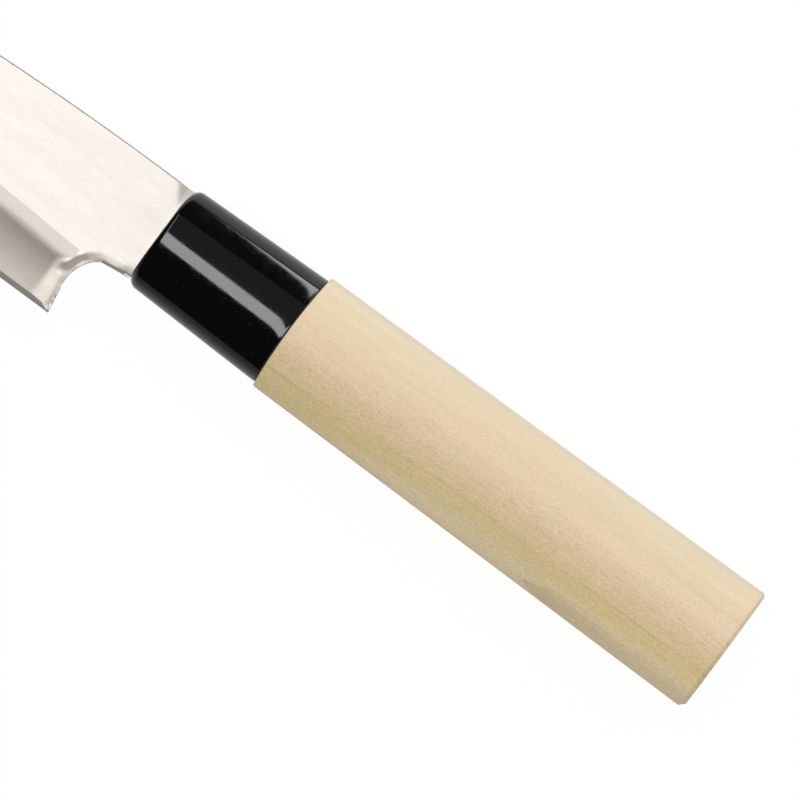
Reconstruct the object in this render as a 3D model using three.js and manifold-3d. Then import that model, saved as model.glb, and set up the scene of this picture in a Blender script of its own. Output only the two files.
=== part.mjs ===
// Paring knife with a wooden handle: a sheet-steel blade with a hidden tang, a moulded black ferrule
// and an oval grip of pale wood, held together by adhesive round the tang.
//
// Millimetres. The knife lies on its right side: +X runs from the tip to the butt, +Y from the edge to the
// spine and +Z out of the left face. The pieces are drawn with X = 0 at the ferrule's front face, on the
// handle's axis, and the finished knife is then set down with its origin under the middle of its box.
import * as THREE from "three";
import { ConvexGeometry } from "three/addons/geometries/ConvexGeometry.js";
import { mergeVertices } from "three/addons/utils/BufferGeometryUtils.js";
import Module from "manifold-3d";

const wasm = await Module();
wasm.setup();

// Blade outline
const bladeLength = 105; // heel to tip, along the handle's axis
const bladeThickness = 2;
const neckLength = 6.95; // ferrule to heel
const spineRise = 8.94; // spine above the axis, over the heel
const spineRadius = 570; // the spine is one long arc that falls towards the tip
const heelDrop = 21.45; // edge below the axis
const straightEdge = 40; // flat stretch of the edge, from the heel
const bellyLead = 28; // how far the flat stretch pulls the belly's curve
const tipLead = 16; // how far the tip pulls the belly's curve
const tipRise = 42; // degrees by which the edge climbs at the tip
const heelUndercut = 1.95; // the heel's rear edge leans forward by this much on its way up to the neck
const neckDrop = 8.88; // neck below the axis, at the ferrule
const neckFlare = 1.2; // extra depth of the neck at the choil
const choilRise = 6.4; // length of the rear edge that the choil's round corner takes up
const choilRun = 4.7; // length of the neck that it takes up
const choilFullness = 0.48; // how far the round corner reaches into the sharp one that it replaces
const edgeEase = 0.2; // chamfer on the spine, the neck and the shoulder

// Blade grind, the same on both faces
const bevelHeight = 11.35; // edge to the ridge line, at the heel
const bevelSpread = 3; // degrees between the edge and the ridge line
const ridgeBand = 2.5; // nearly flat band under the ridge line
const ridgeBandFall = 0.07; // how far that band falls away from the flat
const bandBlend = 0.9; // half the width of the soft turn from that band into the hollow
const hollowDepth = 0.08; // depth of the hollow ground under the band
const honedHeight = 0.95; // second bevel along the edge
const honedHalfThickness = 0.2; // half the steel left at the top of the second bevel
const heelFacetWidth = 3.1; // facet along the heel's rear edge
const neckFacetWidth = 1; // the same facet where it runs out along the neck
const choilRimHalfThickness = 0.35; // half the steel that the facet leaves at the choil's outline
const neckRimHalfThickness = 0.95; // the same under the neck
const rimGrowth = 2.5; // how late round the choil the rim thickens to the neck's
const facetTurnWidth = 0.4; // share of the facet's width that turns over towards the outline
const facetTurnFall = 0.55; // share of the facet's fall that this part takes
const shoulderFacetHeight = 2.7; // corners of the neck ground away beside the ferrule
const shoulderFacetLength = 2.4;
const shoulderFacetDepth = 0.16;

// Tang
const tangLength = 78; // beyond the ferrule's front face
const tangHeight = 6.4;
const tangThickness = 1.8;
const tangEndHeight = 4.4;
const tangEndThickness = 1.3;

// Ferrule
const ferruleLength = 26.95;
const ferruleFrontHeight = 19.3;
const ferruleFrontThickness = 15.6;
const ferruleRearHeight = 20.65;
const ferruleRearThickness = 16.7;
const ferruleNoseRadius = 1;
const mouthRun = 3.6; // stretch before the wood over which the broad sides draw in
const mouthDraw = 0.035; // by how much each of them draws in
const ferruleWall = 2;
const ferruleFrontWall = 3;

// Grip
const gripLength = 89.05; // what shows behind the ferrule
const gripProud = 0.68; // step from the ferrule up to the wood
const gripButtHeight = 23.25;
const gripButtThickness = 19.2;
const gripFrontRound = 0.4;
const buttChamferAtSpine = 0.45;
const buttChamferAtEdge = 0.9;
const ovalPower = 2.15; // 2 is an ellipse, more is squarer

// Fits
const fitGap = 0.3; // between pieces whose curved or tapered faces meet
const glueWall = 0.4; // least adhesive round the tang's corners
const tangEndRoom = 2; // bore left beyond the end of the tang
const tangRoot = 3; // how far the tang's body runs into the neck

// Places that several pieces share
const heelX = -neckLength;
const tipX = heelX - bladeLength;
const buttX = ferruleLength + gripLength;
const halfSteel = bladeThickness / 2;
const spineY = (x) => spineRise - spineRadius + Math.sqrt(spineRadius ** 2 - (x - heelX) ** 2);
const ferruleHeight = (x) =>
  THREE.MathUtils.mapLinear(x, 0, ferruleLength, ferruleFrontHeight, ferruleRearHeight);
const ferruleThickness = (x) =>
  THREE.MathUtils.mapLinear(x, 0, ferruleLength, ferruleFrontThickness, ferruleRearThickness);
const tenonX = ferruleFrontWall + fitGap;
const adhesiveRadius = Math.hypot(tangHeight / 2 + fitGap, tangThickness / 2 + fitGap) + glueWall;
const boreRadius = adhesiveRadius + fitGap;
const boreEndX = tangLength + tangEndRoom;

// Fineness of the facets
const ovalSides = 64;
const boreSides = 32;
const roundSteps = 6;
const blendSteps = 6;
const heelSteps = 6;
const choilSteps = 24;
const hollowSteps = 8;
const straightSteps = 7;
const bellySteps = 26;
const spineSteps = 40;

// Material left outside the finished edge, for the grind to take away.
const edgeStock = 0.8;
// How far a cutter reaches past the piece that it cuts.
const overshoot = 2;
// The same for the choil's facet, whose slope changes along the outline.
const facetOvershoot = 0.25;

const evenSteps = (from, to, steps) =>
  Array.from({ length: steps + 1 }, (_, i) => THREE.MathUtils.lerp(from, to, i / steps));

// A closed geometry as a solid that can be joined and cut.
function solid(geometry) {
  const bare = geometry.index ? geometry.toNonIndexed() : geometry.clone();
  bare.deleteAttribute("normal");
  bare.deleteAttribute("uv");
  const merged = mergeVertices(bare, 1e-4);
  return new wasm.Manifold(
    new wasm.Mesh({
      numProp: 3,
      vertProperties: new Float32Array(merged.attributes.position.array),
      triVerts: new Uint32Array(merged.index.array),
    }),
  );
}

function geometryOf(body) {
  const mesh = body.getMesh();
  const geometry = new THREE.BufferGeometry();
  geometry.setAttribute("position", new THREE.BufferAttribute(mesh.vertProperties, 3));
  geometry.setIndex(new THREE.BufferAttribute(mesh.triVerts, 1));
  geometry.computeVertexNormals();
  return geometry;
}

// A closed skin through rings of equally many points, with a flat cap on each end ring.
function loft(rings) {
  const sides = rings[0].length;
  const index = [];
  for (let i = 0; i + 1 < rings.length; i++) {
    for (let j = 0; j < sides; j++) {
      const a = i * sides + j;
      const b = i * sides + ((j + 1) % sides);
      index.push(a, b, b + sides, a, b + sides, a + sides);
    }
  }
  const last = (rings.length - 1) * sides;
  for (const [a, b, c] of capTriangles(rings[0])) index.push(a, c, b);
  for (const [a, b, c] of capTriangles(rings.at(-1))) index.push(last + a, last + b, last + c);
  const geometry = new THREE.BufferGeometry().setFromPoints(rings.flat());
  geometry.setIndex(signedVolume(rings.flat(), index) < 0 ? index.reverse() : index);
  return geometry;
}

// Triangles over a flat ring, turned the way the ring runs.
function capTriangles(ring) {
  const normal = new THREE.Vector3();
  ring.forEach((p, i) => normal.add(p.clone().cross(ring[(i + 1) % ring.length])));
  normal.normalize();
  const across = new THREE.Vector3().subVectors(ring[1], ring[0]).normalize();
  const up = new THREE.Vector3().crossVectors(normal, across);
  const flat = ring.map((p) => new THREE.Vector2(p.dot(across), p.dot(up)));
  return THREE.ShapeUtils.triangulateShape(flat, []);
}

function signedVolume(points, index) {
  let volume = 0;
  for (let i = 0; i < index.length; i += 3) {
    const [a, b, c] = [points[index[i]], points[index[i + 1]], points[index[i + 2]]];
    volume += a.dot(b.clone().cross(c)) / 6;
  }
  return volume;
}

// Oval section of the handle, standing across X.
function ovalRing(x, height, thickness) {
  const bend = (v) => Math.sign(v) * Math.abs(v) ** (2 / ovalPower);
  return Array.from({ length: ovalSides }, (_, i) => {
    const turn = (2 * Math.PI * i) / ovalSides;
    return new THREE.Vector3(x, (height / 2) * bend(Math.sin(turn)), (thickness / 2) * bend(Math.cos(turn)));
  });
}

// Rings of a quarter-round rim that grows from the end face at endX to the full section a radius further on.
function roundedRim(endX, radius, height, thickness) {
  return evenSteps(0, Math.PI / 2, roundSteps).map((turn) => {
    const lost = 2 * radius * (1 - Math.sin(turn));
    return ovalRing(endX + radius * (1 - Math.cos(turn)), height - lost, thickness - lost);
  });
}

function boxBetween(low, high) {
  const size = high.map((v, i) => v - low[i]);
  return new THREE.BoxGeometry(...size).translate(...low.map((v, i) => v + size[i] / 2));
}

function cylinderAlongX(radius, fromX, toX) {
  return new THREE.CylinderGeometry(radius, radius, toX - fromX, boreSides)
    .rotateZ(Math.PI / 2)
    .translate((fromX + toX) / 2, 0, 0);
}

// Edge of the blade from the heel to the tip: a straight stretch, then the belly.
const heel = new THREE.Vector2(heelX, -heelDrop);
const tip = new THREE.Vector2(tipX, spineY(tipX));
const bellyStart = new THREE.Vector2(heelX - straightEdge, -heelDrop);
const climb = THREE.MathUtils.degToRad(tipRise);
const belly = new THREE.CubicBezierCurve(
  bellyStart,
  new THREE.Vector2(bellyStart.x - bellyLead, -heelDrop),
  new THREE.Vector2(tip.x + tipLead * Math.cos(climb), tip.y - tipLead * Math.sin(climb)),
  tip,
);

// Points of the edge with the way into the blade there and the distance run from the heel. It starts behind
// the heel, past the ferrule's face, and ends beyond the tip.
function edgeStations() {
  const runIn = new THREE.Vector2(overshoot, -heelDrop);
  const runOut = tip.clone().addScaledVector(belly.getTangent(1), overshoot + edgeStock);
  const straight = new THREE.LineCurve(heel, bellyStart).getPoints(straightSteps).slice(0, -1);
  const points = [runIn, ...straight, ...belly.getSpacedPoints(bellySteps), runOut];
  let run = heel.x - runIn.x;
  return points.map((point, i) => {
    const before = points[Math.max(i - 1, 0)];
    const after = points[Math.min(i + 1, points.length - 1)];
    if (i > 0) run += point.distanceTo(before);
    const along = new THREE.Vector2().subVectors(after, before).normalize();
    return { point, inward: new THREE.Vector2(along.y, -along.x), run };
  });
}

const bevelHeightAt = (run) => bevelHeight + run * Math.tan(THREE.MathUtils.degToRad(bevelSpread));

// Half the steel's thickness at a distance up from the edge, where the bevel is so high: as it leaves the
// wheel, and then with the second bevel honed on.
function groundHalfThickness(up, height) {
  const bandFoot = height - ridgeBand;
  const footZ = halfSteel - ridgeBandFall;
  const band = (at) => THREE.MathUtils.mapLinear(at, bandFoot, height, footZ, halfSteel);
  const hollow = (at) => {
    const share = (at - honedHeight) / (bandFoot - honedHeight);
    return THREE.MathUtils.lerp(honedHalfThickness, footZ, share) - 4 * hollowDepth * share * (1 - share);
  };
  const turn = (up - bandFoot + bandBlend) / (2 * bandBlend);
  if (up >= height) return halfSteel;
  if (turn >= 1) return band(up);
  if (turn <= 0) return hollow(up);
  const ends = (1 - turn) ** 2 * hollow(bandFoot - bandBlend) + turn ** 2 * band(bandFoot + bandBlend);
  return ends + 2 * turn * (1 - turn) * footZ;
}
const honedThickness = (up) => (up / honedHeight) * honedHalfThickness;
const halfThickness = (up, height) =>
  up < honedHeight ? honedThickness(up) : groundHalfThickness(up, height);

// What the wheels take off one face: everything above the bevel, all along the edge.
function grindCutter(face) {
  const rings = edgeStations().map(({ point, inward, run }) => {
    const height = bevelHeightAt(run);
    const bandFoot = height - ridgeBand;
    const hollow = evenSteps(honedHeight, bandFoot - bandBlend, hollowSteps);
    const blend = evenSteps(bandFoot - bandBlend, bandFoot + bandBlend, blendSteps).slice(1);
    const ups = [-overshoot, 0, ...hollow, ...blend, height];
    const section = ups.map((up) => [up, halfThickness(up, height)]);
    section.push([height, halfSteel + overshoot], [-overshoot, halfSteel + overshoot]);
    return section.map(([up, z]) => {
      const place = point.clone().addScaledVector(inward, up);
      return new THREE.Vector3(place.x, place.y, face * z);
    });
  });
  return solid(loft(rings));
}

// Rear edge of the heel, round choil and underside of the neck.
const choilCorner = new THREE.Vector2(heelX - heelUndercut, -neckDrop - neckFlare);
const neckFoot = new THREE.Vector2(0, -neckDrop);
const towards = (from, to, length) =>
  from.clone().addScaledVector(new THREE.Vector2().subVectors(to, from).normalize(), length);
const choilStart = towards(choilCorner, heel, choilRise);
const choilEnd = towards(choilCorner, neckFoot, choilRun);
const choil = new THREE.CubicBezierCurve(
  choilStart,
  choilStart.clone().lerp(choilCorner, choilFullness),
  choilEnd.clone().lerp(choilCorner, choilFullness),
  choilEnd,
);
const heelStockCorner = towards(heel, choilCorner, -edgeStock);

// Flat stamping with the neck and the blade, still with stock along the edge.
function stamping() {
  const spine = evenSteps(0, tipX - edgeStock, spineSteps).map((x) => new THREE.Vector2(x, spineY(x)));
  const stock = edgeStations()
    .filter(({ run }) => run > 0)
    .map(({ point, inward }) => point.clone().addScaledVector(inward, -edgeStock))
    .filter(({ x, y }) => x > tipX - edgeStock && y < spineY(x))
    .reverse();
  const outline = new THREE.Shape([
    ...spine,
    ...stock,
    heelStockCorner,
    ...choil.getPoints(choilSteps),
    neckFoot,
  ]);
  const plate = new THREE.ExtrudeGeometry(outline, {
    depth: bladeThickness - 2 * edgeEase,
    bevelThickness: edgeEase,
    bevelSize: edgeEase,
    bevelOffset: -edgeEase,
    bevelSegments: 2,
  });
  return solid(plate.translate(0, 0, edgeEase - halfSteel));
}

// The facet that breaks the corner of one face along the heel, the choil and the neck.
function choilFacetCutter(face) {
  const rearEdge = new THREE.LineCurve(heel, choilStart).getPoints(heelSteps);
  const points = [
    towards(heel, choilCorner, -overshoot),
    ...rearEdge.slice(0, -1),
    ...choil.getPoints(choilSteps),
    towards(neckFoot, choilEnd, -overshoot),
  ];
  const rings = points.map((point, i) => {
    const before = points[Math.max(i - 1, 0)];
    const after = points[Math.min(i + 1, points.length - 1)];
    const along = new THREE.Vector2().subVectors(after, before).normalize();
    const inward = new THREE.Vector2(-along.y, along.x);
    const turned = THREE.MathUtils.clamp(inward.y, 0, 1);
    const width = THREE.MathUtils.lerp(heelFacetWidth, neckFacetWidth, turned ** 2);
    const climbed = Math.min((point.y - heel.y) / (choilStart.y - heel.y), 1);
    const rim = THREE.MathUtils.lerp(choilRimHalfThickness, neckRimHalfThickness, turned ** rimGrowth);
    const rimZ = climbed * rim;
    const inner = point.clone().addScaledVector(inward, width);
    const innerZ = groundHalfThickness(inner.y + heelDrop, bevelHeightAt(heelX - inner.x));
    const turnWidth = facetTurnWidth * width;
    const turnFall = facetTurnFall * (innerZ - rimZ);
    const section = [
      [width, innerZ],
      [turnWidth, rimZ + turnFall],
      [-facetOvershoot, rimZ - (turnFall / turnWidth) * facetOvershoot],
      [-facetOvershoot, halfSteel + overshoot],
      [width, halfSteel + overshoot],
    ];
    return section.map(([reach, z]) => {
      const place = point.clone().addScaledVector(inward, reach);
      return new THREE.Vector3(place.x, place.y, face * z);
    });
  });
  return solid(loft(rings));
}

// Corner of the neck ground away beside the ferrule: side is 1 at the spine and -1 underneath.
function shoulderFacetCutter(face, side) {
  const cornerY = side > 0 ? spineY(0) : neckDrop;
  const place = (back, down, z) => new THREE.Vector3(-back, side * (cornerY - down), face * z);
  const reach = 1 + overshoot / shoulderFacetDepth;
  return solid(
    new ConvexGeometry([
      place(0, 0, halfSteel - shoulderFacetDepth),
      place(shoulderFacetLength * reach, 0, halfSteel + overshoot - shoulderFacetDepth),
      place(0, shoulderFacetHeight * reach, halfSteel + overshoot - shoulderFacetDepth),
      place(0, 0, halfSteel + 2 * overshoot),
    ]),
  );
}

function tangSection(x, extra) {
  const height = THREE.MathUtils.mapLinear(x, 0, tangLength, tangHeight, tangEndHeight) / 2 + extra;
  const thickness = THREE.MathUtils.mapLinear(x, 0, tangLength, tangThickness, tangEndThickness) / 2 + extra;
  const corners = [[1, 1], [-1, 1], [-1, -1], [1, -1]];
  return corners.map(([y, z]) => new THREE.Vector3(x, y * height, z * thickness));
}

function makeBlade() {
  let blade = stamping();
  for (const face of [1, -1]) {
    blade = blade.subtract(grindCutter(face)).subtract(choilFacetCutter(face));
    for (const side of [1, -1]) blade = blade.subtract(shoulderFacetCutter(face, side));
  }
  const tang = solid(loft([tangSection(-tangRoot, 0), tangSection(tangLength, 0)]));
  return geometryOf(blade.add(tang));
}

function makeFerrule() {
  const mouth = evenSteps(0, 1, roundSteps).map((share) => {
    const x = ferruleLength - mouthRun * (1 - share);
    return ovalRing(x, ferruleHeight(x), ferruleThickness(x) - 2 * mouthDraw * share ** 3);
  });
  const nose = roundedRim(0, ferruleNoseRadius, ferruleFrontHeight, ferruleFrontThickness);
  const body = loft([...nose, ...mouth]);
  const socket = loft([ferruleFrontWall, ferruleLength + overshoot].map((x) => tenonSection(x, fitGap)));
  const slot = boxBetween(
    [-overshoot, -tangHeight / 2 - fitGap, -tangThickness / 2 - fitGap],
    [ferruleFrontWall + overshoot, tangHeight / 2 + fitGap, tangThickness / 2 + fitGap],
  );
  return geometryOf(solid(body).subtract(solid(socket)).subtract(solid(slot)));
}

// Section of the grip's tenon inside the ferrule, enlarged by a gap for the socket that takes it.
function tenonSection(x, gap) {
  const taken = 2 * (ferruleWall + fitGap - gap);
  return ovalRing(x, ferruleHeight(x) - taken, ferruleThickness(x) - taken);
}

// Ring of the butt's chamfer, which is wider on the edge's side: 1 where it leaves the grip, 0 at the end.
function buttRing(share) {
  return ovalRing(buttX, gripButtHeight, gripButtThickness).map((p) => {
    const down = 0.5 - p.y / gripButtHeight;
    const chamfer = THREE.MathUtils.lerp(buttChamferAtSpine, buttChamferAtEdge, down);
    const flat = new THREE.Vector3(0, p.y, p.z);
    return p.addScaledVector(flat.normalize(), (share - 1) * chamfer).setX(buttX - share * chamfer);
  });
}

function makeGrip() {
  const frontHeight = ferruleRearHeight + 2 * gripProud;
  const frontThickness = ferruleRearThickness + 2 * gripProud;
  const wood = loft([
    tenonSection(tenonX, 0),
    tenonSection(ferruleLength, 0),
    ...roundedRim(ferruleLength, gripFrontRound, frontHeight, frontThickness),
    buttRing(1),
    buttRing(0),
  ]);
  const bore = cylinderAlongX(boreRadius, tenonX - overshoot, boreEndX);
  return geometryOf(solid(wood).subtract(solid(bore)));
}

function makeTangAdhesive() {
  const plug = cylinderAlongX(adhesiveRadius, tenonX, boreEndX - fitGap);
  const pocket = loft([tangSection(tenonX - overshoot, fitGap), tangSection(tangLength + fitGap, fitGap)]);
  return geometryOf(solid(plug).subtract(solid(pocket)));
}

const satinSteel = new THREE.MeshStandardMaterial({ color: 0xd6d2cc, roughness: 0.32, metalness: 1 });
const blackResin = new THREE.MeshStandardMaterial({ color: 0x0b0b0c, roughness: 0.12, metalness: 0 });
const paleWood = new THREE.MeshStandardMaterial({ color: 0xe4cda6, roughness: 0.7, metalness: 0 });
const amberAdhesive = new THREE.MeshStandardMaterial({ color: 0xb98d45, roughness: 0.5, metalness: 0 });

const knife = new THREE.Group();
const pieces = {
  blade: [makeBlade(), satinSteel],
  ferrule: [makeFerrule(), blackResin],
  grip: [makeGrip(), paleWood],
  tang_adhesive: [makeTangAdhesive(), amberAdhesive],
};
for (const [name, [geometry, material]] of Object.entries(pieces)) {
  const mesh = new THREE.Mesh(geometry, material);
  mesh.name = name;
  knife.add(mesh);
}

// Set down with the origin on the table, under the middle of the box.
knife.position.set(-(tipX + buttX) / 2, (heelDrop - gripButtHeight / 2) / 2, gripButtThickness / 2);

const part = new THREE.Group();
part.add(knife);
export default part;
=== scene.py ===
import math

import bmesh
import bpy
from mathutils import Matrix, Vector, geometry, kdtree


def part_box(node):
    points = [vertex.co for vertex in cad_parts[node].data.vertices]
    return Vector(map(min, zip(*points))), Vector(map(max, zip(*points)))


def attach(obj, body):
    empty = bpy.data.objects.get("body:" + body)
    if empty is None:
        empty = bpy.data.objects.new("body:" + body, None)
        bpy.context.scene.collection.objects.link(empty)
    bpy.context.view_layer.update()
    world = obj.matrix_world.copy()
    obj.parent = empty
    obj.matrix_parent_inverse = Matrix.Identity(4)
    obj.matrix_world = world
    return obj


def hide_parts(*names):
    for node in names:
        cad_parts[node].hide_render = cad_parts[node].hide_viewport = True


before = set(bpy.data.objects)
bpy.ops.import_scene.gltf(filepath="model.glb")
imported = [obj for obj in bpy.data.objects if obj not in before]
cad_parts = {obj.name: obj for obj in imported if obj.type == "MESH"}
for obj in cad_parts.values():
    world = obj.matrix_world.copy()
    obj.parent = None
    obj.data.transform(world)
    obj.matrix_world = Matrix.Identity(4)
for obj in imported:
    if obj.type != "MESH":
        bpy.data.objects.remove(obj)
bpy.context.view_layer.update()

# Blade: stainless sheet steel, cut to its outline, ground hollow on both faces and honed along the edge. The
# tang is one piece with it and is glued into the handle. The shape is a merged copy of the solid, with the
# ridge line and second bevel crisp, and with the heel, the choil, the neck and its shoulders eased by hand.
MM = 0.001
blade_low, blade_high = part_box("blade")
ferrule_low, ferrule_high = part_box("ferrule")
AXIS_Y = (ferrule_low.y + ferrule_high.y) / 2
AXIS_Z = (ferrule_low.z + ferrule_high.z) / 2
BLADE_PLANE = (blade_low.z + blade_high.z) / 2
# The outline behind the edge, from the ferrule's front on the handle's axis.
HEEL = Vector((-6.95, -21.45)) * MM
CHOIL_CORNER = Vector((-8.9, -10.08)) * MM
NECK_FOOT = Vector((0, -8.88)) * MM
CHOIL_RISE = 6.4 * MM
CHOIL_RUN = 4.7 * MM
CHOIL_FULLNESS = 0.48
OUTLINE_STEPS = 200
# The grind of each face.
HALF_STEEL = 1.0 * MM
BEVEL_HEIGHT = 11.35 * MM
BEVEL_SPREAD = math.tan(math.radians(3))
RIDGE_BAND = 2.5 * MM
RIDGE_BAND_FALL = 0.07 * MM
BAND_BLEND = 0.9 * MM
HOLLOW_DEPTH = 0.08 * MM
HONED_HEIGHT = 0.95 * MM
HONED_HALF = 0.2 * MM
# What the belt took off along the outline: the broad facet's width and slope, then the outer facet's. The
# choil's begins and is full at these shares of the outline's three stretches, and then the neck's.
HEEL_BUFF = (3.1 * MM, 0.04, 1.3 * MM, 0.05)
CHOIL_BUFF = (2.1 * MM, 0.185, 0.95 * MM, -0.105)
CHOIL_BUFF_FROM, CHOIL_BUFF_FULL = 1.12, 1.34
NECK_BUFF = (1.9 * MM, 0.075, 0.8 * MM, 0.13)
NECK_BUFF_FROM, NECK_BUFF_FULL = 1.55, 2.0
BUFF_SOFTNESS = 0.5 * MM
LEAST_LEFT = 0.35
# How the neck's corners fall away towards the ferrule.
SHOULDER_SLOPE = 0.06
SHOULDER_LEAN = 0.75
SHOULDER_START = 3.6 * MM
SHOULDER_SOFTNESS = 1.2 * MM
SHOULDER_LIFT = -0.2 * MM
SHOULDER_X = -3.2 * MM
NECK_END = 0.3 * MM
NECK_RUN_IN = 0.45 * MM
NECK_CORNER_RUN_IN = 0.5 * MM
FERRULE_HALF_HEIGHT = 9.65 * MM
# Where the faces are cut fine enough to be eased, and what tells one face from another.
BUFFED_ZONES = (
    (Vector((-11.6, -20.4)) * MM, Vector((-0.3, -4.2)) * MM),
    (Vector((-3.2, 4.4)) * MM, Vector((-0.3, 9.2)) * MM),
)
BUFFED_CELL = 0.2 * MM
RIM_REACH = 0.05 * MM
SPINE_RIM = 8.7 * MM
EDGE_REACH = 0.01 * MM
MERGE_REACH = 0.001 * MM
CUT_REACH = 0.002 * MM
SAME_PLANE = math.radians(0.05)
CRISP_TURN = math.radians(15)
FLAT_TILT = math.cos(math.radians(0.3))
GROUND_TILT = math.cos(math.radians(18))
BROAD_TILT = 0.5
# The steel's clouds, in lengths and widths of a stroke, their share, and how far the gloss parts.
CLOUD_LENGTH = 5
CLOUD_WIDTH = 12
CLOUD_SHARE = 0.3
GLOSS_SPREAD = 0.005


def linear(code):
    """A colour written as sRGB hex, in the linear values that a shader takes."""
    parts = [int(code[i : i + 2], 16) / 255 for i in (1, 3, 5)]
    return [p / 12.92 if p <= 0.04045 else ((p + 0.055) / 1.055) ** 2.4 for p in parts] + [1.0]


def add_node(tree, kind, inputs, **settings):
    """A new node with its settings. Each input is a plain value, or the node or socket it is linked from."""
    node = tree.nodes.new("ShaderNode" + kind)
    for name, value in settings.items():
        setattr(node, name, value)
    for socket, value in inputs.items():
        if isinstance(value, bpy.types.Node):
            value = value.outputs[0]
        if isinstance(value, bpy.types.NodeSocket):
            tree.links.new(value, node.inputs[socket])
        else:
            node.inputs[socket].default_value = value
    return node


def new_finish(name, values):
    """A material with plain values on its shader, and that shader."""
    finish = bpy.data.materials.new(name)
    finish.use_nodes = True
    shader = finish.node_tree.nodes["Principled BSDF"]
    for socket, value in values.items():
        shader.inputs[socket].default_value = value
    return finish, shader


def add_piece(name, shape, finishes, node):
    """A finished mesh as a piece of the knife that stands for its solid in the frame. Its broad faces keep
    their shading up to their rims, and the narrow ones turn the corner."""
    mesh = bpy.data.meshes.new(name)
    shape.to_mesh(mesh)
    shape.free()
    for finish in finishes:
        mesh.materials.append(finish)
    piece = bpy.data.objects.new(name, mesh)
    bpy.context.scene.collection.objects.link(piece)
    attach(piece, "root")
    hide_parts(node)
    broad_first = piece.modifiers.new("broad faces keep their shading", "WEIGHTED_NORMAL")
    broad_first.keep_sharp = True


def steel_finish(name, dull, bright, roughness, stroke, relief_depth):
    """Steel with strokes of this length and width along the blade, which part its colour and its gloss."""
    finish, shader = new_finish(name, {"Metallic": 1.0})
    tree = finish.node_tree
    place = add_node(tree, "TexCoord", {}).outputs["Object"]
    length, width = stroke
    cloud = (CLOUD_LENGTH * length, CLOUD_WIDTH * width, width)
    stroke_place = add_node(
        tree, "Mapping", {"Vector": place, "Scale": (length, width, width)}, vector_type="TEXTURE"
    )
    strokes = add_node(
        tree, "TexNoise", {"Vector": stroke_place, "Scale": 1.0, "Detail": 3.0, "Roughness": 0.6}
    )
    cloud_place = add_node(tree, "Mapping", {"Vector": place, "Scale": cloud}, vector_type="TEXTURE")
    clouds = add_node(tree, "TexNoise", {"Vector": cloud_place, "Scale": 1.0, "Detail": 2.0})
    worn = add_node(tree, "Mix", {0: CLOUD_SHARE, 2: strokes, 3: clouds}, data_type="FLOAT")
    shade = add_node(tree, "MapRange", {0: worn, 1: 0.32, 2: 0.68})
    tint = add_node(tree, "Mix", {0: shade, 6: linear(dull), 7: linear(bright)}, data_type="RGBA")
    gloss = add_node(
        tree, "MapRange", {0: shade, 3: roughness + GLOSS_SPREAD, 4: roughness - GLOSS_SPREAD}
    )
    relief = add_node(tree, "Bump", {"Strength": 1.0, "Distance": relief_depth, "Height": strokes})
    tree.links.new(tint.outputs[2], shader.inputs["Base Color"])
    tree.links.new(gloss.outputs[0], shader.inputs["Roughness"])
    tree.links.new(relief.outputs[0], shader.inputs["Normal"])
    return finish


# Stainless steel: a soft mirror with fine lines along the blade, which the eye reads as faint streaks. The
# flats are satin, the ground faces darker, and the honed edge duller. The lines are really about 0.05 mm
# apart and are drawn coarser, so that they show.
satin_steel = steel_finish(
    "Satin stainless steel", "#BAB4AE", "#C8C2BC", 0.32, (3 * MM, 0.2 * MM), 0.0001 * MM
)
ground_steel = steel_finish(
    "Ground stainless steel", "#918C85", "#9A958E", 0.28, (1.2 * MM, 0.22 * MM), 0.00005 * MM
)
honed_steel = steel_finish(
    "Honed stainless steel", "#BEBAB4", "#CAC6C0", 0.36, (1.5 * MM, 0.2 * MM), 0.0005 * MM
)
SATIN, GROUND, HONED = range(3)
# The heel was buffed after the grinding, which took the wheel's grey off it and a little off the ridge band.
# Places are in millimetres from the ferrule's front on the handle's axis.
HEEL_POLISH_X = (-11.6, -10.5)
HEEL_POLISH_STEP = 2.3
HEEL_POLISH_STEP_Y = (-13.2, -11.5)
BAND_POLISH = 0.14
BAND_POLISH_Y = (-13.4, -12.2)
RUBBED_Y = (-19.0, -14.0)
ground = ground_steel.node_tree
ground_tint = ground.nodes["Principled BSDF"].inputs["Base Color"]
ground_place = add_node(
    ground,
    "Mapping",
    {
        "Vector": add_node(ground, "TexCoord", {}).outputs["Object"],
        "Location": (ferrule_low.x, AXIS_Y, AXIS_Z),
        "Scale": (MM, MM, MM),
    },
    vector_type="TEXTURE",
)
ground_way = add_node(ground, "SeparateXYZ", {0: ground_place})
ground_x, ground_y, _ = ground_way.outputs
step_low, step_high = HEEL_POLISH_STEP_Y
band_step = add_node(
    ground, "MapRange", {0: ground_y, 1: step_low, 2: step_high, 3: 0.0, 4: HEEL_POLISH_STEP}
)
from_heel = add_node(ground, "Math", {0: ground_x, 1: band_step}, operation="SUBTRACT")
heel_polish = add_node(
    ground,
    "MapRange",
    {0: from_heel, 1: HEEL_POLISH_X[0], 2: HEEL_POLISH_X[1]},
    interpolation_type="SMOOTHSTEP",
)
from_ridge = add_node(
    ground, "Math", {0: ground_x, 1: BEVEL_SPREAD, 2: ground_y}, operation="MULTIPLY_ADD"
)
band_polish = add_node(
    ground,
    "MapRange",
    {0: from_ridge, 1: BAND_POLISH_Y[0], 2: BAND_POLISH_Y[1], 3: 0.0, 4: BAND_POLISH},
    interpolation_type="SMOOTHSTEP",
)
polish = add_node(ground, "Math", {0: heel_polish, 1: band_polish}, operation="MAXIMUM")
rubbed = add_node(ground, "MapRange", {0: ground_y, 1: RUBBED_Y[0], 2: RUBBED_Y[1]})
polish_tint = add_node(
    ground, "Mix", {0: rubbed, 6: linear("#ADA79E"), 7: linear("#CBC3B9")}, data_type="RGBA"
)
grey_tint = ground_tint.links[0].from_socket
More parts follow.
